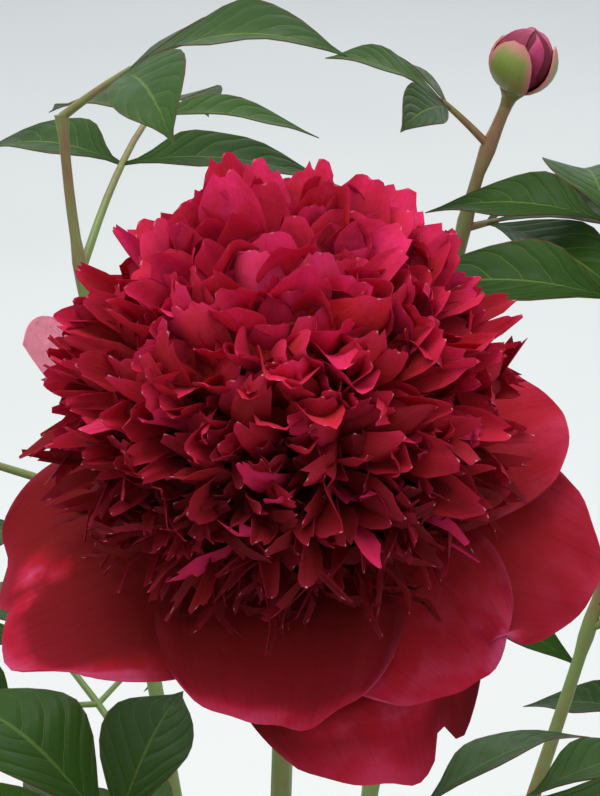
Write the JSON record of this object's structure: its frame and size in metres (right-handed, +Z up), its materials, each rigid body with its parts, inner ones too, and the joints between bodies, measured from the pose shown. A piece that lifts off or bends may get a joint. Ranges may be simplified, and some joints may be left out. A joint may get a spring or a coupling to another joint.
{
  "type": "potted red charm peony",
  "caption": "Bomb-form double peony: an open bloom over broad guard petals, a closed bud and leafy stems, growing in a plain round clay pot.",
  "frame": {"origin": "centre of the pot's flat foot", "axes": "+Z up, -Y the way the open bloom leans"},
  "size_m": [0.6479, 0.623, 0.7533],
  "materials": {
    "clay": "matte",
    "soil": "matte",
    "leaf": "satin",
    "guard_petal": "satin",
    "petaloid": "satin",
    "bud": "satin"
  },
  "bodies": {
    "root": {"pot": "clay", "soil": "soil", "flower_stem": "leaf", "bud_stem": "leaf", "leafy_stem_1": "leaf", "leafy_stem_2": "leaf", "leafy_stem_3": "leaf", "leafy_stem_4": "leaf", "leafy_stem_5": "leaf", "guard_petal_1": "guard_petal", "guard_petal_2": "guard_petal", "guard_petal_3": "guard_petal", "guard_petal_4": "guard_petal", "guard_petal_5": "guard_petal", "guard_petal_6": "guard_petal", "guard_petal_7": "guard_petal", "guard_petal_8": "guard_petal", "guard_petal_9": "guard_petal", "petaloid_ball": "petaloid", "bud_petals": "bud"}
  },
  "joints": []
}
